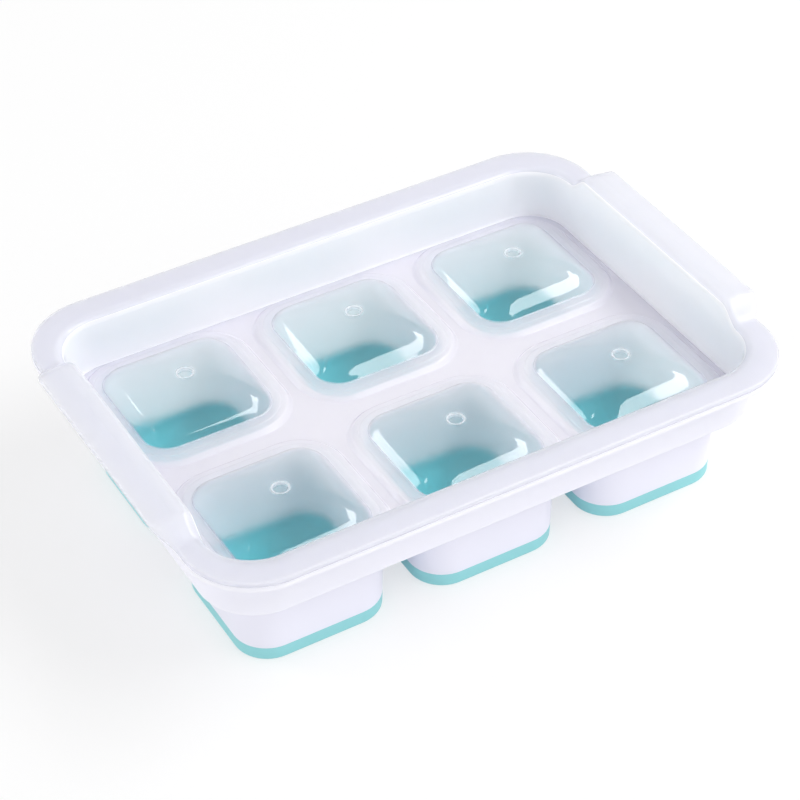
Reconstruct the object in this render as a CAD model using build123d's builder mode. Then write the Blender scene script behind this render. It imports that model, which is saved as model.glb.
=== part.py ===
from build123d import *
import os
from math import radians, tan

# A freezer tray for baby food, in millimetres. A rigid white tray hangs square cells below a shallow basin.
# Each cell is closed by a soft bottom that a thumb pushes in, and a clear lid nests in the basin.
# The origin is on the surface the tray stands on, under its middle, with +X along its length and +Z up.

# Cells: how many there are, and the outside of one at the lower edge of its sleeve
cells_long = 3
cells_short = 2
cell_width = 47.2
cell_corner = 11.0
cell_draft = 1.5

# Raised pad over each cell: a low ledge that carries a domed cap with a vent hole
ledge_overlap = 2.4
ledge_corner_growth = 3.0
ledge_rise = 1.6
ledge_flare = 40.0
ledge_shelf = 4.3
cap_rise = 8.4
cap_shoulder_rise = 4.4
cap_shoulder_draw = 4.6
cap_shoulder_corner = 8.6
cap_crown_draw = 12.4
cap_crown_corner = 5.0
vent_radius = 2.1
vent_bevel = 0.5
vent_bevel_angle = 90.0

# Floor left between the ledges, and between the ledges and the basin's walls
column_gap = 6.0
row_gap = 8.4
end_gap = 4.0
side_gap = 2.6

# Lid basin, and the rim outline that the lid and the tray share
lid_thickness = 1.5
basin_corner = 14.0
basin_draft = 3.5
lip_radius = 3.0
end_rim = 9.3
side_rim = 11.5
rim_corner_growth = 8.0

# Lift tab raised above the rim at each short end
tab_corner_gap = 3.3
tab_ramp = 8.0
tab_rise = 5.3
tab_reach = 3.9
tab_fall = 1.0
tab_round = 2.5
tab_shelf_share = 0.716

# Tray body
tray_wall = 1.7
tray_floor = 1.7
tray_flange = 2.0
tray_depth = 17.2
seat_gap = 0.3
nest_clearance = 0.8
basin_foot_round = 2.0
sleeve_drop = 22.3

# Soft bottom of a cell: a bonded rim, a thin ring that flexes, and the pad that the thumb pushes
soft_height = 4.8
soft_floor = 2.0
soft_round = 0.8
soft_shelf = 5.1
flex_corner_cut = 3.0
flex_band = 5.0
flex_thickness = 1.0
flex_lift = 0.5
push_pad_clearance = 0.3
push_pad_lift = 0.4
push_pad_thickness = 2.2
push_pad_round = 0.7

# How far a cut runs past the face it opens
overrun = 5.0

# Outlines, from the cells outwards
ledge_width = cell_width + 2 * ledge_overlap
ledge_corner = cell_corner + ledge_corner_growth
cap_width = ledge_width - 2 * ledge_shelf
cap_corner = cell_corner
pitch_long = ledge_width + column_gap
pitch_short = ledge_width + row_gap
basin_length = (cells_long - 1) * pitch_long + ledge_width + 2 * end_gap
basin_width = (cells_short - 1) * pitch_short + ledge_width + 2 * side_gap
flange_length = basin_length + 2 * end_rim
flange_width = basin_width + 2 * side_rim
flange_corner = basin_corner + rim_corner_growth
tab_span = flange_width / 2 - flange_corner - tab_corner_gap
flex_width = cell_width - 2 * soft_shelf
flex_corner = cell_corner - flex_corner_cut

# Heights, from the surface the tray stands on upwards
tray_floor_low = soft_height + sleeve_drop
tray_floor_top = tray_floor_low + tray_floor
tray_rim_top = tray_floor_top + tray_depth
tray_rim_low = tray_rim_top - tray_flange
lid_floor_low = tray_floor_top + seat_gap
lid_floor_top = lid_floor_low + lid_thickness
lid_rim_low = tray_rim_top + seat_gap
lid_rim_top = lid_rim_low + lid_thickness
ledge_top = lid_floor_top + ledge_rise
cap_top = ledge_top + cap_rise

# Slopes of the drafted walls, as outward run for each unit of height
basin_slope = tan(radians(basin_draft))
cell_slope = tan(radians(cell_draft))
ledge_slope = tan(radians(ledge_flare))

# Outlines up a cap: height above its ledge, how far the outline is drawn in, and its corner radius
cap_outlines = (
    (0, 0, cap_corner),
    (cap_shoulder_rise, cap_shoulder_draw, cap_shoulder_corner),
    (cap_rise, cap_crown_draw, cap_crown_corner),
)

cell_spots = GridLocations(pitch_long, pitch_short, cells_long, cells_short)


def pad_form(inset, foot):
    """The raised pad standing on the height foot, drawn in by inset on its top and sides."""
    step = ledge_top - inset
    spread = (step - foot) * ledge_slope - inset
    with BuildPart() as pad:
        with BuildSketch(Plane.XY.offset(foot)):
            RectangleRounded(ledge_width + 2 * spread, ledge_width + 2 * spread, ledge_corner + spread)
        extrude(amount=step - foot, taper=ledge_flare)
        for rise, draw, corner in cap_outlines:
            side = cap_width - 2 * (draw + inset)
            with BuildSketch(Plane.XY.offset(step + rise)):
                RectangleRounded(side, side, corner - inset)
        loft(ruled=True)
    return pad.part


# Lift tab: the basin's end wall carried up and turned out, ramped down to the rim at both ends
tab_foot = lid_rim_low - lip_radius
tab_top = lid_rim_top + tab_rise
tab_inside = basin_length / 2 + (tab_foot - lid_floor_top) * basin_slope
tab_outside = basin_length / 2 + lid_thickness + (tab_foot - lid_floor_low) * basin_slope
tab_break = tab_inside + tab_shelf_share * (flange_length / 2 - tab_inside)

# Each station: place along the end, top height, outer edge and how far that edge drops
raised = (tab_top, flange_length / 2 + tab_reach, tab_fall)
level = (lid_rim_top, flange_length / 2, 0)
tab_stations = (
    (-tab_span, *level),
    (tab_ramp - tab_span, *raised),
    (tab_span - tab_ramp, *raised),
    (tab_span, *level),
)

with BuildPart() as tab:
    for along, top, outer, fall in tab_stations:
        under = top - lid_thickness
        inner_corner = (tab_inside + (top - tab_foot) * basin_slope, top)
        under_corner = (tab_outside + (under - tab_foot) * basin_slope, under)
        with BuildSketch(Plane.XZ.offset(-along)) as shelf:
            with BuildLine():
                Polyline(
                    (tab_inside, tab_foot),
                    inner_corner,
                    (tab_break, top),
                    (tab_break, under),
                    under_corner,
                    (tab_outside, tab_foot),
                    close=True,
                )
            make_face()
            fillet(shelf.vertices().sort_by_distance(inner_corner)[0], radius=tab_round)
            fillet(shelf.vertices().sort_by_distance(under_corner)[0], radius=tab_round - lid_thickness)
    loft(ruled=True)
    for along, top, outer, fall in tab_stations:
        with BuildSketch(Plane.XZ.offset(-along)):
            with BuildLine():
                Polyline(
                    (tab_break, top),
                    (outer, top - fall),
                    (outer, top - fall - lid_thickness),
                    (tab_break, top - lid_thickness),
                    close=True,
                )
            make_face()
    loft(ruled=True)

pad_outside = pad_form(0, lid_floor_top)
pad_inside = pad_form(lid_thickness, lid_floor_low)

# Lid: a basin with a rolled lip and flange, a pad over each cell and a lift tab at each end
with BuildPart() as lid:
    with BuildSketch(Plane.XY.offset(lid_floor_low)):
        RectangleRounded(
            basin_length + 2 * lid_thickness,
            basin_width + 2 * lid_thickness,
            basin_corner + lid_thickness,
        )
    extrude(amount=lid_rim_top - lid_floor_low, taper=-basin_draft)
    with BuildSketch(Plane.XY.offset(lid_rim_low)):
        RectangleRounded(flange_length, flange_width, flange_corner)
    extrude(amount=lid_thickness)
    with BuildSketch(Plane.XY.offset(lid_floor_top)):
        RectangleRounded(basin_length, basin_width, basin_corner)
    extrude(amount=lid_rim_top - lid_floor_top, taper=-basin_draft, mode=Mode.SUBTRACT)
    fillet(lid.faces().sort_by(Axis.Z)[-1].inner_wires()[0].edges(), radius=lip_radius)
    # The rim gives way to the tab at both ends
    with BuildSketch(Plane.XY.offset(tab_foot)):
        tab_bite = flange_length / 2 + overrun - tab_inside
        with Locations((tab_inside + tab_bite / 2, 0), (-tab_inside - tab_bite / 2, 0)):
            Rectangle(tab_bite, 2 * tab_span)
    extrude(amount=lid_rim_top - tab_foot + overrun, mode=Mode.SUBTRACT)
    add(tab.part)
    mirror(tab.part, about=Plane.YZ)
    with GridLocations(pitch_long, pitch_short, cells_long, cells_short):
        add(pad_outside)
    with GridLocations(pitch_long, pitch_short, cells_long, cells_short):
        add(pad_inside, mode=Mode.SUBTRACT)
    with Locations((0, 0, cap_top)):
        with GridLocations(pitch_long, pitch_short, cells_long, cells_short):
            CounterSinkHole(vent_radius, vent_radius + vent_bevel, counter_sink_angle=vent_bevel_angle)

# Tray body: rim and basin, with an open sleeve hanging under the floor for each cell
tray_margin = lid_thickness + nest_clearance

with BuildPart() as tray_body:
    with BuildSketch(Plane.XY.offset(tray_floor_low)):
        RectangleRounded(
            basin_length + 2 * (tray_margin + tray_wall),
            basin_width + 2 * (tray_margin + tray_wall),
            basin_corner + tray_margin + tray_wall,
        )
    extrude(amount=tray_rim_top - tray_floor_low, taper=-basin_draft)
    fillet(tray_body.edges().group_by(Axis.Z)[0], radius=basin_foot_round)
    with BuildSketch(Plane.XY.offset(tray_rim_low)):
        RectangleRounded(flange_length, flange_width, flange_corner)
    extrude(amount=tray_flange)
    with BuildSketch(Plane.XY.offset(tray_floor_top)):
        RectangleRounded(
            basin_length + 2 * tray_margin,
            basin_width + 2 * tray_margin,
            basin_corner + tray_margin,
        )
    extrude(amount=tray_depth, taper=-basin_draft, mode=Mode.SUBTRACT)
    with BuildSketch(Plane.XY.offset(soft_height)):
        with GridLocations(pitch_long, pitch_short, cells_long, cells_short):
            RectangleRounded(cell_width, cell_width, cell_corner)
    extrude(amount=tray_floor_top - soft_height, taper=-cell_draft)
    with BuildSketch(Plane.XY.offset(soft_height)):
        with GridLocations(pitch_long, pitch_short, cells_long, cells_short):
            RectangleRounded(cell_width - 2 * tray_wall, cell_width - 2 * tray_wall, cell_corner - tray_wall)
    extrude(amount=tray_floor_top - soft_height, taper=-cell_draft, mode=Mode.SUBTRACT)

# Soft rim: carries on the sleeve's walls, and turns in under the cell
rim_draw = soft_height * cell_slope
well_draw = (soft_height - soft_floor) * cell_slope + tray_wall

with BuildPart() as soft_rim:
    with BuildSketch():
        RectangleRounded(cell_width - 2 * rim_draw, cell_width - 2 * rim_draw, cell_corner - rim_draw)
    extrude(amount=soft_height, taper=-cell_draft)
    fillet(soft_rim.edges().group_by(Axis.Z)[0], radius=soft_round)
    with BuildSketch(Plane.XY.offset(soft_floor)):
        RectangleRounded(cell_width - 2 * well_draw, cell_width - 2 * well_draw, cell_corner - well_draw)
    extrude(amount=soft_height - soft_floor, taper=-cell_draft, mode=Mode.SUBTRACT)
    with BuildSketch():
        RectangleRounded(flex_width, flex_width, flex_corner)
    extrude(amount=soft_height, mode=Mode.SUBTRACT)

# Flex ring: the thin band between the rim and the pad
flex_inner = flex_width - 2 * flex_band
flex_inner_corner = flex_corner - flex_band / 2

with BuildPart() as flex_ring:
    with BuildSketch(Plane.XY.offset(flex_lift)):
        RectangleRounded(flex_width, flex_width, flex_corner)
        RectangleRounded(flex_inner, flex_inner, flex_inner_corner, mode=Mode.SUBTRACT)
    extrude(amount=flex_thickness)

# Push pad: the thick middle of the bottom, a little clear of the surface the tray stands on
push_pad_width = flex_inner - 2 * push_pad_clearance

with BuildPart() as push_pad:
    with BuildSketch(Plane.XY.offset(push_pad_lift)):
        RectangleRounded(push_pad_width, push_pad_width, flex_inner_corner - push_pad_clearance)
    extrude(amount=push_pad_thickness)
    fillet(push_pad.faces().filter_by(Axis.Z).edges(), radius=push_pad_round)

os.makedirs("parts", exist_ok=True)

lid.part.label = "lid"
export_step(lid.part, "parts/lid.step")
tray_body.part.label = "tray_body"
export_step(tray_body.part, "parts/tray_body.step")

for number, spot in enumerate(cell_spots, start=1):
    for name, piece in (("soft_rim", soft_rim), ("flex_ring", flex_ring), ("push_pad", push_pad)):
        placed = piece.part.moved(spot)
        placed.label = f"{name}_{number}"
        export_step(placed, f"parts/{placed.label}.step")
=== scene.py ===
import math

import bmesh
import bpy
import numpy as np
from mathutils import Matrix, Vector
from mathutils.geometry import tessellate_polygon


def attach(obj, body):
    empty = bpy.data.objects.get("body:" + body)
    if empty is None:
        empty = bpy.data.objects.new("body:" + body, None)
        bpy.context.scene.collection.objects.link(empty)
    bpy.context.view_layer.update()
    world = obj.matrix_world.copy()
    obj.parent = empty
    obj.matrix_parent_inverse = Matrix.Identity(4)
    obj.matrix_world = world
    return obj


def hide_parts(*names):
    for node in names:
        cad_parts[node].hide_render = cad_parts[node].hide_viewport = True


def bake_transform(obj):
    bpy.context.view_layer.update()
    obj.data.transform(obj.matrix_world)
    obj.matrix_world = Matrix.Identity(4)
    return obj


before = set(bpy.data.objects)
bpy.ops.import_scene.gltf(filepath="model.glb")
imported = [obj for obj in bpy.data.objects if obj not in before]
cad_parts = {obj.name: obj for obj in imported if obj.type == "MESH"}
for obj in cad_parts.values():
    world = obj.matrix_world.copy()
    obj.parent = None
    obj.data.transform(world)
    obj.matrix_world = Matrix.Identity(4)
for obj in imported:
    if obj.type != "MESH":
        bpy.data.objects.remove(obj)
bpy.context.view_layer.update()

# Sizes in millimetres, as in the solid model
MILLIMETRE = 0.001
PITCH_X, PITCH_Y = 58.0, 60.4
CELLS = [(x * PITCH_X, y * PITCH_Y / 2) for x in (-1, 0, 1) for y in (-1, 1)]
DRAFT, CELL_DRAFT = 3.5, 1.5
SLOPE = math.tan(math.radians(DRAFT))
CELL_SLOPE = math.tan(math.radians(CELL_DRAFT))

# Outlines from above: the lid's inner wall at its floor, and the rim
BASIN_X, BASIN_Y, BASIN_CORNER = 88.0, 58.8, 14.0
RIM_X, RIM_Y, RIM_CORNER = 97.3, 70.3, 22.0

# Heights from the feet up
SOFT_TOP, LINING_TOP = 4.8, 7.0
SLEEVE_HEIGHT, TRAY_THICKNESS, BASIN_DEPTH, FLANGE_THICKNESS = 22.3, 1.7, 17.2, 2.0
TRAY_FLOOR_LOW = SOFT_TOP + SLEEVE_HEIGHT
TRAY_FLOOR = TRAY_FLOOR_LOW + TRAY_THICKNESS
TRAY_TOP = TRAY_FLOOR + BASIN_DEPTH
TRAY_LOW = TRAY_TOP - FLANGE_THICKNESS
LID_GAP, LID_WALL = 0.3, 1.5
LID_LOW = TRAY_FLOOR + LID_GAP
LID_FLOOR = LID_LOW + LID_WALL
LID_TOP = TRAY_TOP + LID_GAP + LID_WALL

# Edges that both rims share: how far the flat stops short of the outline, and the radii
RIM_INSET, EDGE_ROUND, EDGE_SHARP = 0.5, 0.6, 0.12

# Steps of a loop along its two kinds of side, and round each corner
LID_STEPS, TRAY_STEPS = ((40, 96), 14), ((24, 18), 14)
PAD_STEPS, CELL_STEPS = ((10, 10), 12), ((8, 8), 12)


def smooth(t):
    """Eases from 0 to 1."""
    t = min(1.0, max(0.0, t))
    return t * t * (3 - 2 * t)


def arc(centre, radius, first, last, steps):
    """Points on an arc in a profile of (outward, up), angles in degrees from outward."""
    out = []
    for i in range(steps + 1):
        a = math.radians(first + (last - first) * i / steps)
        out.append((centre[0] + radius * math.cos(a), centre[1] + radius * math.sin(a)))
    return out


def ring(half_x, half_y, corner, z, runs, turn, centre=(0, 0)):
    """Points round a rounded rectangle, the same number for every size."""
    signs = ((1, 1), (-1, 1), (-1, -1), (1, -1))
    spots = [(centre[0] + sx * (half_x - corner), centre[1] + sy * (half_y - corner)) for sx, sy in signs]
    points = []
    for k in range(4):
        ox, oy = spots[k]
        for i in range(turn + 1):
            a = math.radians(90 * k + 90 * i / turn)
            points.append((ox + corner * math.cos(a), oy + corner * math.sin(a), z))
        a = math.radians(90 * (k + 1))
        begin = points[-1]
        nx, ny = spots[(k + 1) % 4]
        end = (nx + corner * math.cos(a), ny + corner * math.sin(a))
        steps = runs[k % 2]
        for i in range(1, steps):
            f = i / steps
            points.append((begin[0] + (end[0] - begin[0]) * f, begin[1] + (end[1] - begin[1]) * f, z))
    return points


def circle_like(points, centre, radius, z):
    """A circle whose points lie in the same directions from the centre as the given points."""
    out = []
    for x, y, _ in points:
        a = math.atan2(y - centre[1], x - centre[0])
        out.append((centre[0] + radius * math.cos(a), centre[1] + radius * math.sin(a), z))
    return out


def corner_at(half, table):
    """Corner radius at a half width, from a table of both."""
    halves, corners = zip(*table)
    return float(np.interp(half, halves, corners))


def leaning(foot, base, levels, slope=SLOPE):
    """Points on a drafted wall with its foot on base, at levels above that."""
    return [(foot + level * slope, base + level) for level in levels]


def rim_offsets(share, inset, start):
    """Steps out from the basin's outline, share of the way from start to the rim drawn in by inset."""
    ends = (RIM_X - inset - BASIN_X, RIM_Y - inset - BASIN_Y, RIM_CORNER - inset - BASIN_CORNER)
    return [start + (end - start) * share for end in ends]


class Shell:
    """Loops of points in millimetres, and the faces between them. A face's kind is its material slot."""

    def __init__(self):
        self.points, self.faces, self.kinds, self.shares = [], [], [], []

    def loop(self, points, share=0.0):
        """Adds points and returns their numbers. Share, how far they would follow a pushed middle, is kept
        but nothing here uses it.
        """
        first = len(self.points)
        self.points += points
        self.shares += [share] * len(points)
        return list(range(first, len(self.points)))

    def bands(self, loops, kind):
        """Joins each loop to the next."""
        for a, b in zip(loops, loops[1:]):
            for i in range(len(a)):
                j = (i + 1) % len(a)
                self.faces.append((a[i], a[j], b[j], b[i]))
                self.kinds.append(kind)

    def sheet(self, outer, holes, kind):
        """Fills a level loop and leaves holes in it."""
        rims = [outer, *holes]
        order = [i for rim in rims for i in rim]
        flat = [[Vector((self.points[i][0], self.points[i][1], 0)) for i in rim] for rim in rims]
        for triangle in tessellate_polygon(flat):
            self.faces.append(tuple(order[k] for k in triangle))
            self.kinds.append(kind)

    def fan(self, rim, z, share, kind):
        """Closes a loop to a point in its middle."""
        x, y, _ = np.mean([self.points[i] for i in rim], axis=0)
        middle = self.loop([(float(x), float(y), z)], share)[0]
        for i in range(len(rim)):
            self.faces.append((rim[i], rim[(i + 1) % len(rim)], middle))
            self.kinds.append(kind)

    def build(self, name, *materials):
        """Makes the mesh in metres, smooth and with its faces turned outward."""
        data = bpy.data.meshes.new(name)
        data.from_pydata([tuple(c * MILLIMETRE for c in p) for p in self.points], [], self.faces)
        data.polygons.foreach_set("material_index", self.kinds)
        work = bmesh.new()
        work.from_mesh(data)
        bmesh.ops.recalc_face_normals(work, faces=work.faces)
        for face in work.faces:
            face.smooth = True
        work.to_mesh(data)
        work.free()
        for material in materials:
            data.materials.append(material)
        obj = bpy.data.objects.new(name, data)
        bpy.context.scene.collection.objects.link(obj)
        return obj


# Shader nodes

def new_material(name):
    material = bpy.data.materials.new(name)
    material.use_nodes = True
    nodes = material.node_tree.nodes
    nodes.clear()
    out = nodes.new("ShaderNodeOutputMaterial")
    return material, nodes, material.node_tree.links, out


def noise(nodes, links, scale, detail):
    where = nodes.new("ShaderNodeTexCoord")
    texture = nodes.new("ShaderNodeTexNoise")
    texture.inputs["Scale"].default_value = scale
    texture.inputs["Detail"].default_value = detail
    links.new(where.outputs["Object"], texture.inputs["Vector"])
    return texture.outputs["Fac"]


def spread(nodes, links, source, low, high, first=0.0, last=1.0):
    """Spreads a value between first and last over low to high."""
    scale = nodes.new("ShaderNodeMapRange")
    scale.inputs["From Min"].default_value = first
    scale.inputs["From Max"].default_value = last
    scale.inputs["To Min"].default_value = low
    scale.inputs["To Max"].default_value = high
    links.new(source, scale.inputs["Value"])
    return scale.outputs["Result"]


def worked_out(nodes, links, operation, *terms):
    """One step of arithmetic. Each term is an output of another node or a plain number."""
    step = nodes.new("ShaderNodeMath")
    step.operation = operation
    for term, place in zip(terms, step.inputs):
        if isinstance(term, bpy.types.NodeSocket):
            links.new(term, place)
        else:
            place.default_value = term
    return step.outputs[0]


def mixed(nodes, links, share, first, second):
    """The first shader where share is 0, the second where it is 1."""
    mix = nodes.new("ShaderNodeMixShader")
    links.new(share, mix.inputs["Fac"])
    links.new(first, mix.inputs[1])
    links.new(second, mix.inputs[2])
    return mix.outputs[0]


def lamp_ray(nodes, links):
    """One for lamp light and for light bounced off matt surfaces, nought for what is seen or reflected."""
    path = nodes.new("ShaderNodeLightPath")
    return worked_out(nodes, links, "MAXIMUM", path.outputs["Is Shadow Ray"], path.outputs["Is Diffuse Ray"])


# Plastics: scales of the drift of colour, the milky cloud and the two grains, and how far grain and cloud go
DRIFT_SCALE, CLOUD_SCALE, GRAIN_SCALE, MILKY_GRAIN_SCALE = 22.0, 30.0, 900.0, 700.0
GRAIN_SPREAD, GRAIN_DEPTH, CLOUD_SPREAD = 0.06, 0.0002, 0.05
MILKY_ROUGHNESS, MILKY_BUMP = 0.22, 0.04


def grained(nodes, links, scale, roughness, bump, spread_length):
    """A plastic shader with a fine grain, in which light spreads over a length in metres."""
    shader = nodes.new("ShaderNodeBsdfPrincipled")
    shader.inputs["Subsurface Weight"].default_value = 1.0 if spread_length else 0.0
    shader.inputs["Subsurface Radius"].default_value = (1, 1, 1)
    shader.inputs["Subsurface Scale"].default_value = spread_length
    grain = noise(nodes, links, scale, 4.0)
    rough = spread(nodes, links, grain, roughness - GRAIN_SPREAD, roughness + GRAIN_SPREAD)
    links.new(rough, shader.inputs["Roughness"])
    relief = nodes.new("ShaderNodeBump")
    relief.inputs["Strength"].default_value = bump
    relief.inputs["Distance"].default_value = GRAIN_DEPTH
    links.new(grain, relief.inputs["Height"])
    links.new(relief.outputs["Normal"], shader.inputs["Normal"])
    return shader


def plastic(name, colour, variation, roughness, bump, spread_length=0.0):
    """A plastic that hides what is behind it, with a broad drift of colour."""
    material, nodes, links, out = new_material(name)
    shader = grained(nodes, links, GRAIN_SCALE, roughness, bump, spread_length)
    mix = nodes.new("ShaderNodeMix")
    mix.data_type = "RGBA"
    mix.inputs["A"].default_value = (*colour, 1)
    mix.inputs["B"].default_value = (*[c * variation for c in colour], 1)
    links.new(noise(nodes, links, DRIFT_SCALE, 2.0), mix.inputs["Factor"])
    links.new(mix.outputs["Result"], shader.inputs["Base Color"])
    links.new(shader.outputs["BSDF"], out.inputs["Surface"])
    return material


def milky_plastic(name, colour, density, spread_length, thinning):
    """The lid's floor, walls and rim, with a little of what is behind showing.

    Density is how much is hidden. For light on its way through it is less, by thinning.
    """
    material, nodes, links, out = new_material(name)
    shader = grained(nodes, links, MILKY_GRAIN_SCALE, MILKY_ROUGHNESS, MILKY_BUMP, spread_length)
    shader.inputs["Base Color"].default_value = (*colour, 1)
    see = nodes.new("ShaderNodeBsdfTransparent")
    cloud = noise(nodes, links, CLOUD_SCALE, 3.0)
    cloudy = spread(nodes, links, cloud, density - CLOUD_SPREAD, density + CLOUD_SPREAD)
    cover = worked_out(nodes, links, "MULTIPLY_ADD", lamp_ray(nodes, links), -thinning, cloudy)
    surface = mixed(nodes, links, cover, see.outputs[0], shader.outputs[0])
    links.new(surface, out.inputs["Surface"])
    return material


def clear_plastic(name):
    """The lid's caps: see-through and faintly frosted, milkier where they turn away, with a glossy skin."""
    material, nodes, links, out = new_material(name)
    tint = (0.985, 0.99, 1.0, 1)
    see = nodes.new("ShaderNodeBsdfTransparent")
    see.inputs["Color"].default_value = tint
    frost = nodes.new("ShaderNodeBsdfRefraction")
    frost.inputs["Color"].default_value = tint
    frost.inputs["IOR"].default_value = 1.1
    frost.inputs["Roughness"].default_value = 0.4
    milk = nodes.new("ShaderNodeBsdfPrincipled")
    milk.inputs["Base Color"].default_value = (0.84, 0.85, 0.92, 1)
    cloud = noise(nodes, links, CLOUD_SCALE, 3.0)
    links.new(spread(nodes, links, cloud, 0.3, 0.4), milk.inputs["Roughness"])
    gloss = nodes.new("ShaderNodeBsdfGlossy")
    gloss.inputs["Roughness"].default_value = 0.04
    fresnel = nodes.new("ShaderNodeFresnel")
    fresnel.inputs["IOR"].default_value = 1.6
    inside = nodes.new("ShaderNodeNewGeometry").outputs["Backfacing"]
    outside = worked_out(nodes, links, "SUBTRACT", 1.0, inside)
    slant = nodes.new("ShaderNodeLayerWeight").outputs["Facing"]

    def only_on(face, value):
        return worked_out(nodes, links, "MULTIPLY", value, face)

    # Turned away, the inner face stops being frosted and the outer face goes milky, wholly so at its outline
    unfrosted = only_on(inside, spread(nodes, links, slant, 0.0, 1.0, 0.25, 0.5))
    milky_slant = only_on(outside, spread(nodes, links, slant, 0.08, 0.8, 0.4, 0.95))
    milky_outline = only_on(outside, spread(nodes, links, slant, 0.0, 1.0, 0.8, 0.95))
    haze = mixed(nodes, links, unfrosted, frost.outputs[0], see.outputs[0])
    haze = mixed(nodes, links, milky_slant, haze, milk.outputs[0])
    haze = mixed(nodes, links, milky_outline, haze, milk.outputs[0])
    skin = mixed(nodes, links, only_on(outside, fresnel.outputs[0]), haze, gloss.outputs[0])
    surface = mixed(nodes, links, lamp_ray(nodes, links), skin, see.outputs[0])
    links.new(surface, out.inputs["Surface"])
    return material


# Drift of colour, roughness and relief of the two opaque plastics, and how far light spreads in the white one
WHITE_FINISH, SOFT_FINISH = (0.985, 0.36, 0.05), (0.95, 0.5, 0.08)
WHITE_SPREAD = 0.004

# No light spreads in the sleeves' outside, which keeps the colour line at their feet clean
WHITE_COLOUR = (0.815, 0.81, 0.905)
WHITE = plastic("tray_white", WHITE_COLOUR, *WHITE_FINISH, WHITE_SPREAD)
WHITE_SLEEVE = plastic("tray_white_edge", WHITE_COLOUR, *WHITE_FINISH)
# The wells' inside is a lighter copy of the tray's white: painted light where the wells stand in shade
WHITE_INSIDE_PAINTED_LIGHT = plastic("tray_white_inside", (0.955, 0.96, 0.985), *WHITE_FINISH, WHITE_SPREAD)
# The basin is another lighter copy of the same white: painted light in the basin's shade under the lid
WHITE_BASIN_PAINTED_LIGHT = plastic("tray_white_basin", (0.885, 0.885, 0.95), *WHITE_FINISH, WHITE_SPREAD)
# The soft bottoms are one silicone in two tones: the outside painted lighter, standing in for its sheen and
# the light let through at the edge, the inside painted deeper, standing in for the shade in the cup
TEAL_OUTSIDE_PAINTED_LIGHTER = plastic("soft_teal_outside", (0.28, 0.65, 0.68), *SOFT_FINISH)
TEAL_INSIDE_PAINTED_DEEPER = plastic("soft_teal_inside", (0.07, 0.58, 0.63), *SOFT_FINISH)
# The lid is one milky plastic in three tones: the inner wall is painted much lighter, standing in for light
# it lacks in the basin's shade, and the floor is a shifted copy of the rim's tone, set for how light falls on
# it
MILKY = milky_plastic("lid_milky", (0.775, 0.785, 0.88), 0.67, 0.008, 0.4)
MILKY_WALL_PAINTED_LIGHT = milky_plastic("lid_milky_wall", (0.965, 0.955, 0.99), 0.92, 0.003, 0.6)
MILKY_FLOOR = milky_plastic("lid_milky_floor", (0.795, 0.765, 0.86), 0.56, 0.008, 0.5)
CLEAR = clear_plastic("lid_clear")


# Lid

# Its bend at the floor, the flat beside that, the lip at the wall's top, and how far the rim's edge hangs
LID_BEND, LID_FLAT, LID_LIP, RIM_DROP = 0.6, 0.2, 3.0, 0.29
LID_LEVELS, LID_OUTER_LEVELS = (6.2, 10.2), (12.7, 7.7)

# Loops of the rim, above and below, and where on it the tabs begin to lean out
UPPER_SHARES = (0.06, 0.3, 0.47, 0.5, 0.53, 0.75, 0.94)
LOWER_SHARES = (0.53, 0.5, 0.47, 0.2, 0.06)
WING_SHARE = 0.5

# The corner between rim and outer wall: steps out from the wall and up from the rim's underside
LID_ROOT = ((1.0, 0.0), (0.6, -0.08), (0.2, -0.35), (0.0, -0.9))

# Lift tabs: rise, reach and droop, half length of the level part and of the whole, and where an end begins
TAB_RISE, TAB_REACH, TAB_FALL = 5.3, 3.9, 1.0
TAB_FLAT, TAB_END, TAB_BEYOND = 37.0, 45.0, 80.0

# Caps: height and radius of the dome, and how far its arc's centre lies from the cell's middle
CAP_HEIGHT, CAP_RADIUS, CAP_FLAT = 10.0, 22.0, 4.4
CAP_TOP = LID_FLOOR + CAP_HEIGHT

# Half width and corner radius of a pad
PAD_CORNERS = ((0, 1.0), (4.4, 3.0), (10.0, 4.2), (15.0, 5.0), (18.0, 5.8), (20.2, 7.4), (21.7, 9.6),
               (26.0, 14.0), (28.0, 15.4))

# Half width, and height above the lid's floor or its underside
LEDGE = ((27.72, 0.0), (27.6, 0.0), (27.38, 0.08), (27.15, 0.3), (26.85, 0.66), (26.5, 1.08), (26.22, 1.4),
         (25.9, 1.58), (25.5, 1.6), (24.3, 1.6), (24.15, 1.64), (24.0, 1.8), (23.85, 1.86), (22.7, 1.86))
LEDGE_UNDER = ((20.42, 2.3), (20.72, 1.9), (21.05, 1.68), (21.5, 1.6), (24.2, 1.6), (24.8, 1.5),
               (25.5, 1.0), (26.2, 0.35), (26.7, 0.06), (27.2, 0.0), (27.6, 0.0))
COVE_HALF, COVE_HEIGHT, COVE_RADIUS = 22.05, 3.06, 1.2

# Radius, and height above the cap's top
VENT_BEAD = ((3.0, 0.0), (2.92, 0.02), (2.8, 0.1), (2.6, 0.14), (2.35, 0.08), (2.15, -0.12), (2.1, -0.4))
VENT_BORE = ((2.1, -1.2), (2.2, -1.42), (2.45, -1.5), (2.7, -1.5))

# Material slots
LID_RIM, LID_CAP, LID_INSIDE, LID_PLATE = range(4)


def lid_loop(shell, offsets, z, lift=0.0, wing=0.0):
    """A loop of the lid's wall or rim. At both ends lift raises it, and wing leans it out and down."""
    out_x, out_y, growth = offsets
    points = []
    for x, y, h in ring(BASIN_X + out_x, BASIN_Y + out_y, BASIN_CORNER + growth, z, *LID_STEPS):
        if abs(x) > TAB_BEYOND and lift:
            s = smooth((TAB_END - abs(y)) / (TAB_END - TAB_FLAT))
            h += s * (TAB_RISE * lift - TAB_FALL * wing)
            x += math.copysign(s * TAB_REACH * wing, x)
        points.append((x, y, h))
    return shell.loop(points)


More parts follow.
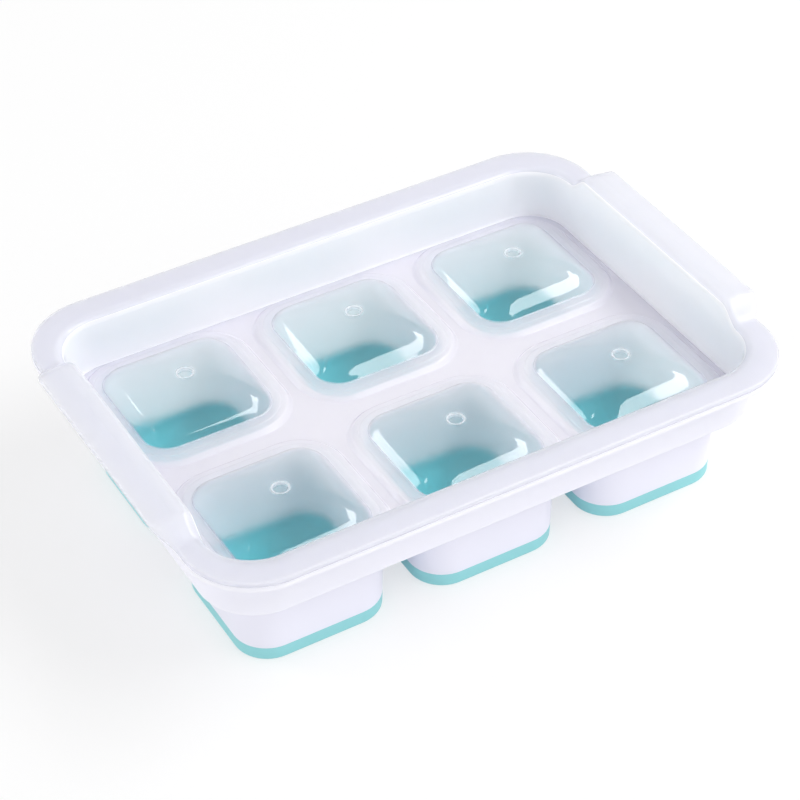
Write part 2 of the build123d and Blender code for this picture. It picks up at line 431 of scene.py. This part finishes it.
def pad(shell, cell):
    """One raised pad, both faces, with its vent hole. Returns its outer loops on the floor's two faces."""
    def squares(profile):
        rings = [ring(h, h, corner_at(h, PAD_CORNERS), z, *PAD_STEPS, cell) for h, z in profile]
        return [shell.loop(points) for points in rings]

    dome = (CAP_FLAT, CAP_TOP - CAP_RADIUS)
    ledge = [(h, LID_FLOOR + z) for h, z in LEDGE]
    ledge += arc((COVE_HALF, LID_FLOOR + COVE_HEIGHT), COVE_RADIUS, 270, 219, 4)
    cap = arc(dome, CAP_RADIUS, 43, 90, 20)
    loops = squares(ledge + cap)
    last = [shell.points[i] for i in loops[-1]]
    loops += [shell.loop(circle_like(last, cell, r, CAP_TOP + z)) for r, z in VENT_BEAD + VENT_BORE]
    hollow = arc(dome, CAP_RADIUS - LID_WALL, 90, 40, 16)
    loops += squares(hollow + [(h, LID_LOW + z) for h, z in LEDGE_UNDER])
    cap_first = len(ledge) - 1
    bead_first = len(ledge) + len(cap)
    bead_last = bead_first + len(VENT_BEAD) - 1
    hollow_last = bead_last + len(VENT_BORE) + len(hollow)
    shell.bands(loops[:cap_first + 1], LID_PLATE)
    shell.bands(loops[cap_first:bead_first + 1], LID_CAP)
    shell.bands(loops[bead_first:bead_last + 1], LID_RIM)
    shell.bands(loops[bead_last:hollow_last + 1], LID_CAP)
    shell.bands(loops[hollow_last:], LID_PLATE)
    return loops[0], loops[-1]


def make_lid():
    """One closed skin: from the floor up the inner wall, over the rim, down the outer wall, with six pads."""
    shell = Shell()
    draft = math.radians(DRAFT)
    turn_x = -LID_BEND * (1 - math.sin(draft)) / math.cos(draft)
    turn_flat = turn_x - LID_FLAT
    bend = (turn_x, LID_FLOOR + LID_BEND)
    lip_x = (LID_TOP - LID_LIP - LID_FLOOR) * SLOPE + LID_LIP / math.cos(draft)
    rim_low = LID_TOP - LID_WALL
    edge_low = rim_low - RIM_DROP

    def wall(profile, lift=0.0):
        return [lid_loop(shell, (d, d, d), z, lift) for d, z in profile]

    def rim(places):
        loops = []
        for share, inset, z in places:
            wing = max(0.0, (share - WING_SHARE) / (1 - WING_SHARE))
            loops.append(lid_loop(shell, rim_offsets(share, inset, lip_x), z, 1.0, wing))
        return loops

    inside = [(turn_flat, LID_FLOOR)] + arc(bend, LID_BEND, 270, 360 - DRAFT, 6)
    inside += leaning(0.0, LID_FLOOR, LID_LEVELS)
    loops = wall(inside)
    loops += wall(arc((lip_x, LID_TOP - LID_LIP), LID_LIP, 180 - DRAFT, 90, 10), 1.0)
    loops += rim([(share, RIM_INSET, LID_TOP) for share in UPPER_SHARES])
    edge = arc((-EDGE_ROUND, LID_TOP - EDGE_ROUND), EDGE_ROUND, 90, 0, 6)
    edge += arc((-EDGE_SHARP, edge_low + EDGE_SHARP), EDGE_SHARP, 0, -90, 3)
    loops += rim([(1.0, -d, z) for d, z in edge])
    loops += rim([(0.9, RIM_INSET, edge_low), (0.75, RIM_INSET, rim_low - 0.2)])
    loops += rim([(share, RIM_INSET, rim_low) for share in LOWER_SHARES])
    under = LID_WALL + (rim_low - LID_LOW) * SLOPE
    loops += wall([(under + d, rim_low + z) for d, z in LID_ROOT], 1.0)
    loops += wall(leaning(LID_WALL, LID_LOW, LID_OUTER_LEVELS))
    loops += wall(arc(bend, LID_BEND + LID_WALL, 360 - DRAFT, 270, 8) + [(turn_flat, LID_LOW)])
    # The inner wall's painted lighter tone ends on the lip, five loops up its curve
    wall_last = len(inside) + 5
    shell.bands(loops[:wall_last], LID_INSIDE)
    shell.bands(loops[wall_last - 1:], LID_RIM)
    uppers, lowers = zip(*[pad(shell, cell) for cell in CELLS])
    shell.sheet(loops[0], uppers, LID_PLATE)
    shell.sheet(loops[-1], lowers, LID_PLATE)
    lid = shell.build("lid_shell", MILKY, CLEAR, MILKY_WALL_PAINTED_LIGHT, MILKY_FLOOR)
    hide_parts("lid")
    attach(lid, "lid")


# Tray body

# Half width and corner radius of a sleeve at its foot, inside and outside
WELL_HALF, WELL_CORNER = 21.9, 9.3
FOOT_HALF, FOOT_CORNER = 23.6, 11.0

# The basin's wall at the floor, inside and outside, from the lid's outline, and the radii of the bends
TRAY_INSIDE, TRAY_OUTSIDE = 2.3, 4.0
TRAY_BEND, TRAY_LIP, SLEEVE_BEND = 2.0, 1.0, 0.8

# How far from its wall each flat face begins: the basin's floor, its underside, the rim's underside, and both
# faces of the floor round a sleeve
BASIN_FLAT, UNDER_FLAT, RIM_FLAT, MOUTH_FLAT, ROOT_FLAT = 2.6, 2.5, 1.4, 1.3, 1.2

# Heights of loops up a wall from its foot
BASIN_LEVELS, TRAY_OUTER_LEVELS = (6.0, 12.0), (11.7, 5.7)
WELL_LEVELS, SLEEVE_LEVELS = (16.0, 8.0, 0.06, 0.0), (0.0, 0.06, 0.7, 8.0, 16.0, 21.0)

# Material slots
TRAY_SKIN, TRAY_SLEEVE, TRAY_WELL, TRAY_BASIN = range(4)


def tray_loop(shell, offsets, z):
    out_x, out_y, growth = offsets
    return shell.loop(ring(BASIN_X + out_x, BASIN_Y + out_y, BASIN_CORNER + growth, z, *TRAY_STEPS))


def sleeve(shell, cell):
    """One open sleeve. Returns its loops on the basin floor's two faces."""
    def squares(profile, half, corner):
        return [shell.loop(ring(h, h, corner + h - half, z, *CELL_STEPS, cell)) for h, z in profile]

    mouth = WELL_HALF + (TRAY_FLOOR - SOFT_TOP) * CELL_SLOPE
    inner = [(mouth + MOUTH_FLAT, TRAY_FLOOR)]
    inner += arc((mouth + SLEEVE_BEND, TRAY_FLOOR - SLEEVE_BEND), SLEEVE_BEND, 90, 180, 6)
    inner += leaning(WELL_HALF, SOFT_TOP, WELL_LEVELS, CELL_SLOPE)
    root = FOOT_HALF + (TRAY_FLOOR_LOW - SOFT_TOP) * CELL_SLOPE
    outer = leaning(FOOT_HALF, SOFT_TOP, SLEEVE_LEVELS, CELL_SLOPE)
    bend = arc((root + SLEEVE_BEND, TRAY_FLOOR_LOW - SLEEVE_BEND), SLEEVE_BEND, 180, 90, 5)
    bend.append((root + ROOT_FLAT, TRAY_FLOOR_LOW))
    loops = squares(inner, WELL_HALF, WELL_CORNER) + squares(outer + bend, FOOT_HALF, FOOT_CORNER)
    foot_first, foot_last = len(inner) - 1, len(inner) + len(outer)
    shell.bands(loops[:foot_first + 1], TRAY_WELL)
    shell.bands(loops[foot_first:foot_last + 1], TRAY_SLEEVE)
    shell.bands(loops[foot_last:], TRAY_SKIN)
    return loops[0], loops[-1]


def make_tray():
    """One closed skin: from the basin's floor up, over the rim and down to the underside, with sleeves."""
    shell = Shell()
    lip = TRAY_INSIDE + (TRAY_TOP - TRAY_FLOOR) * SLOPE
    lip_edge = lip + TRAY_LIP
    under = TRAY_OUTSIDE + (TRAY_LOW - TRAY_FLOOR_LOW) * SLOPE

    def wall(profile):
        return [tray_loop(shell, (d, d, d), z) for d, z in profile]

    def rim(places, start):
        return [tray_loop(shell, rim_offsets(share, inset, start), z) for share, inset, z in places]

    basin = [(TRAY_INSIDE - BASIN_FLAT, TRAY_FLOOR)]
    basin += arc((TRAY_INSIDE - TRAY_BEND, TRAY_FLOOR + TRAY_BEND), TRAY_BEND, 270, 360 - DRAFT, 6)
    basin += leaning(TRAY_INSIDE, TRAY_FLOOR, BASIN_LEVELS)
    loops = wall(basin)
    loops += wall(arc((lip_edge, TRAY_TOP - TRAY_LIP), TRAY_LIP, 180 - DRAFT, 90, 6))
    loops += rim([(share, RIM_INSET, TRAY_TOP) for share in (0.1, 0.9)], lip_edge)
    edge = arc((-EDGE_SHARP, TRAY_TOP - EDGE_SHARP), EDGE_SHARP, 90, 0, 3)
    edge += arc((-EDGE_ROUND, TRAY_LOW + EDGE_ROUND), EDGE_ROUND, 0, -90, 5)
    loops += rim([(1.0, -d, z) for d, z in edge], lip_edge)
    loops += rim([(0.9, RIM_INSET, TRAY_LOW)], under)
    outside = [(under + RIM_FLAT, TRAY_LOW)]
    outside += arc((under + TRAY_LIP, TRAY_LOW - TRAY_LIP), TRAY_LIP, 90, 180 - DRAFT, 5)
    outside += leaning(TRAY_OUTSIDE, TRAY_FLOOR_LOW, TRAY_OUTER_LEVELS)
    outside += arc((TRAY_OUTSIDE - TRAY_BEND, TRAY_FLOOR_LOW + TRAY_BEND), TRAY_BEND, -DRAFT, -90, 7)
    outside.append((TRAY_OUTSIDE - UNDER_FLAT, TRAY_FLOOR_LOW))
    loops += wall(outside)
    shell.bands(loops[:len(basin) + 1], TRAY_BASIN)
    shell.bands(loops[len(basin):], TRAY_SKIN)
    uppers, lowers = zip(*[sleeve(shell, cell) for cell in CELLS])
    shell.sheet(loops[0], uppers, TRAY_BASIN)
    shell.sheet(loops[-1], lowers, TRAY_SKIN)
    tray = shell.build("tray_shell", WHITE, WHITE_SLEEVE, WHITE_INSIDE_PAINTED_LIGHT, WHITE_BASIN_PAINTED_LIGHT)
    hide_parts("tray_body")
    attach(tray, "tray")


# Soft bottoms

# Half width and corner radius
CUP_CORNERS = ((0, 1.0), (6.0, 3.0), (13.5, 5.5), (18.5, 8.0), (WELL_HALF, WELL_CORNER),
               (FOOT_HALF, FOOT_CORNER))

# Half width and height of the underside, the side up to the colour line, the lining and the upper face
CUP_UNDER = [(4.5, 0.35), (11.6, 0.35), (12.6, 0.38), (13.3, 0.5), (13.8, 0.6), (14.4, 0.6), (15.5, 0.6),
             (16.6, 0.6), (17.4, 0.6), (18.0, 0.45), (18.6, 0.15), (19.2, 0.0), (19.8, 0.0), (22.0, 0.0)]
CUP_SIDE = [(23.55, SOFT_TOP - 1.6), (23.598, SOFT_TOP - 0.06), (FOOT_HALF, SOFT_TOP)]
CUP_LINING = [(21.88, SOFT_TOP), (21.93, LINING_TOP), (21.75, LINING_TOP + 0.05), (21.66, LINING_TOP - 0.06),
              (21.6, SOFT_TOP)]
CUP_FLOOR = [(18.8, 1.98), (18.0, 1.85), (17.2, 1.65), (16.4, 1.6), (15.4, 1.6), (14.6, 1.7), (13.9, 2.0),
             (13.2, 2.35), (12.5, 2.55), (11.6, 2.6), (4.5, 2.6)]

# Centre and radius of the bends outside and inside
CUP_BEND, CUP_BEND_RADIUS = (22.68, 0.8), 0.8
CUP_HOLLOW, CUP_HOLLOW_RADIUS = (19.2, 4.4), 2.4

# Half width at which the push begins to tell, and how much further in it is whole
PUSH_EDGE, PUSH_BLEND = 18.2, 4.4

# Material slots
CUP_OUTSIDE, CUP_INSIDE = range(2)


def make_cup(number, cell):
    """One soft bottom, with a thin lining inside the sleeve's foot."""
    shell = Shell()
    outside = CUP_UNDER + arc(CUP_BEND, CUP_BEND_RADIUS, -90, -CELL_DRAFT, 6) + CUP_SIDE
    inside = CUP_LINING + arc(CUP_HOLLOW, CUP_HOLLOW_RADIUS, 0, -90, 8) + CUP_FLOOR
    loops = []
    for half, z in outside + inside:
        push = smooth((PUSH_EDGE - half) / PUSH_BLEND)
        corner = corner_at(half, CUP_CORNERS)
        loops.append(shell.loop(ring(half, half, corner, z, *CELL_STEPS, cell), push))
    shell.bands(loops[:len(outside)], CUP_OUTSIDE)
    shell.bands(loops[len(outside) - 1:], CUP_INSIDE)
    shell.fan(loops[0], outside[0][1], 1.0, CUP_OUTSIDE)
    shell.fan(loops[-1], inside[-1][1], 1.0, CUP_INSIDE)
    cup = shell.build(f"soft_bottom_{number}", TEAL_OUTSIDE_PAINTED_LIGHTER, TEAL_INSIDE_PAINTED_DEEPER)
    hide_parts(f"soft_rim_{number}", f"flex_ring_{number}", f"push_pad_{number}")
    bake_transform(cup)


make_lid()
make_tray()
for number, cell in enumerate(CELLS, start=1):
    make_cup(number, cell)


# Stage, in metres

# The floor's half width and height, its grey and its own faint glow, and how far it is seen as plain white
FLOOR_HALF, FLOOR_Z = 3.0, -0.00002
FLOOR_GREY, FLOOR_GLOW, FLOOR_PAPER = 0.8, 0.16, 0.5

# Light from all round: its level, its change with direction, and a fill from low on both sides
SKY_LEVEL, SKY_SLOPE, SIDE_FILL = 0.93, (0.0, -0.22, -0.50), 0.6
LAMP_DISTANCE, LAMP_AIM = 1.2, Vector((0, 0, 0.03))


def make_floor():
    """A pale floor that takes the shadow, lighter where it is seen or reflected, and open from below."""
    data = bpy.data.meshes.new("floor")
    signs = ((-1, -1), (1, -1), (1, 1), (-1, 1))
    corners = [(x * FLOOR_HALF, y * FLOOR_HALF, FLOOR_Z) for x, y in signs]
    data.from_pydata(corners, [], [(0, 1, 2, 3)])
    material, nodes, links, out = new_material("floor_white")
    matt = nodes.new("ShaderNodeBsdfDiffuse")
    matt.inputs["Color"].default_value = (FLOOR_GREY, FLOOR_GREY, FLOOR_GREY, 1)
    glow = nodes.new("ShaderNodeEmission")
    glow.inputs["Strength"].default_value = FLOOR_GLOW
    both = nodes.new("ShaderNodeAddShader")
    links.new(matt.outputs[0], both.inputs[0])
    links.new(glow.outputs[0], both.inputs[1])
    path = nodes.new("ShaderNodeLightPath")
    seen = path.outputs["Is Camera Ray"]
    for kind in ("Is Glossy Ray", "Is Transmission Ray"):
        seen = worked_out(nodes, links, "MAXIMUM", seen, path.outputs[kind])
    paper = nodes.new("ShaderNodeEmission")
    share = spread(nodes, links, seen, 0.0, FLOOR_PAPER)
    top = mixed(nodes, links, share, both.outputs[0], paper.outputs[0])
    below = nodes.new("ShaderNodeNewGeometry").outputs["Backfacing"]
    see = nodes.new("ShaderNodeBsdfTransparent")
    links.new(mixed(nodes, links, below, top, see.outputs[0]), out.inputs["Surface"])
    data.materials.append(material)
    floor = bpy.data.objects.new("floor", data)
    bpy.context.scene.collection.objects.link(floor)


def softbox(name, direction, wide, high, brightness):
    """A rectangular lamp looking at the tray from a direction, wide and high in degrees as seen from it."""
    data = bpy.data.lights.new(name, "AREA")
    data.shape = "RECTANGLE"
    data.size = 2 * LAMP_DISTANCE * math.tan(math.radians(wide / 2))
    data.size_y = 2 * LAMP_DISTANCE * math.tan(math.radians(high / 2))
    data.energy = brightness * math.pi * data.size * data.size_y
    lamp = bpy.data.objects.new(name, data)
    towards = Vector(direction).normalized()
    lamp.location = LAMP_AIM + towards * LAMP_DISTANCE
    lamp.rotation_mode = "QUATERNION"
    lamp.rotation_quaternion = towards.to_track_quat("Z", "Y")
    bpy.context.scene.collection.objects.link(lamp)


def make_world():
    """White light from all round, stronger from the front, from below and from low on both sides."""
    world = bpy.data.worlds.new("studio")
    world.use_nodes = True
    nodes, links = world.node_tree.nodes, world.node_tree.links
    nodes.clear()
    out = nodes.new("ShaderNodeOutputWorld")
    back = nodes.new("ShaderNodeBackground")
    back.inputs["Color"].default_value = (1, 1, 1, 1)
    direction = nodes.new("ShaderNodeTexCoord").outputs["Generated"]
    towards = nodes.new("ShaderNodeVectorMath")
    towards.operation = "DOT_PRODUCT"
    towards.inputs[1].default_value = SKY_SLOPE
    links.new(direction, towards.inputs[0])
    level = worked_out(nodes, links, "ADD", towards.outputs["Value"], SKY_LEVEL)
    axes = nodes.new("ShaderNodeSeparateXYZ")
    links.new(direction, axes.inputs[0])
    sideways = worked_out(nodes, links, "MULTIPLY", axes.outputs["X"], axes.outputs["X"])
    low = spread(nodes, links, axes.outputs["Z"], SIDE_FILL, 0.0)
    strength = worked_out(nodes, links, "MULTIPLY_ADD", sideways, low, level)
    links.new(strength, back.inputs["Strength"])
    links.new(back.outputs[0], out.inputs["Surface"])
    bpy.context.scene.world = world


def make_camera():
    """The photo's own viewpoint, found from the vent holes and the outline."""
    data = bpy.data.cameras.new("camera")
    data.sensor_width = 36.0
    data.lens = 109.43
    data.clip_start, data.clip_end = 0.01, 50.0
    camera = bpy.data.objects.new("camera", data)
    right = Vector((0.8632, -0.5047, -0.0145))
    down = Vector((-0.3321, -0.5458, -0.7693))
    ahead = Vector((0.3803, 0.6689, -0.6387))
    # Where the part's zero point lies from the camera, in millimetres
    zero_right, zero_down, zero_ahead = 1.629, 20.169, 755.066
    place = -(right * zero_right + down * zero_down + ahead * zero_ahead) * MILLIMETRE
    turn = Matrix((right, -down, -ahead)).transposed().to_4x4()
    camera.matrix_world = Matrix.Translation(place) @ turn
    bpy.context.scene.collection.objects.link(camera)
    bpy.context.scene.camera = camera


make_floor()
make_world()
softbox("front_right_box", (0.578, -0.323, 0.772), 49, 12, 8.5)
softbox("back_left_box", (-0.657, 0.669, 0.345), 16, 12, 6.0)
softbox("left_box", (-0.656, 0.352, 0.665), 8, 8, 8.0)
make_camera()

# Light passes many thin milky walls, so it is followed further than usual
light_paths = bpy.context.scene.cycles
light_paths.max_bounces = 32
light_paths.diffuse_bounces = 24
light_paths.transparent_max_bounces = 16

bpy.context.scene.view_settings.view_transform = "Standard"
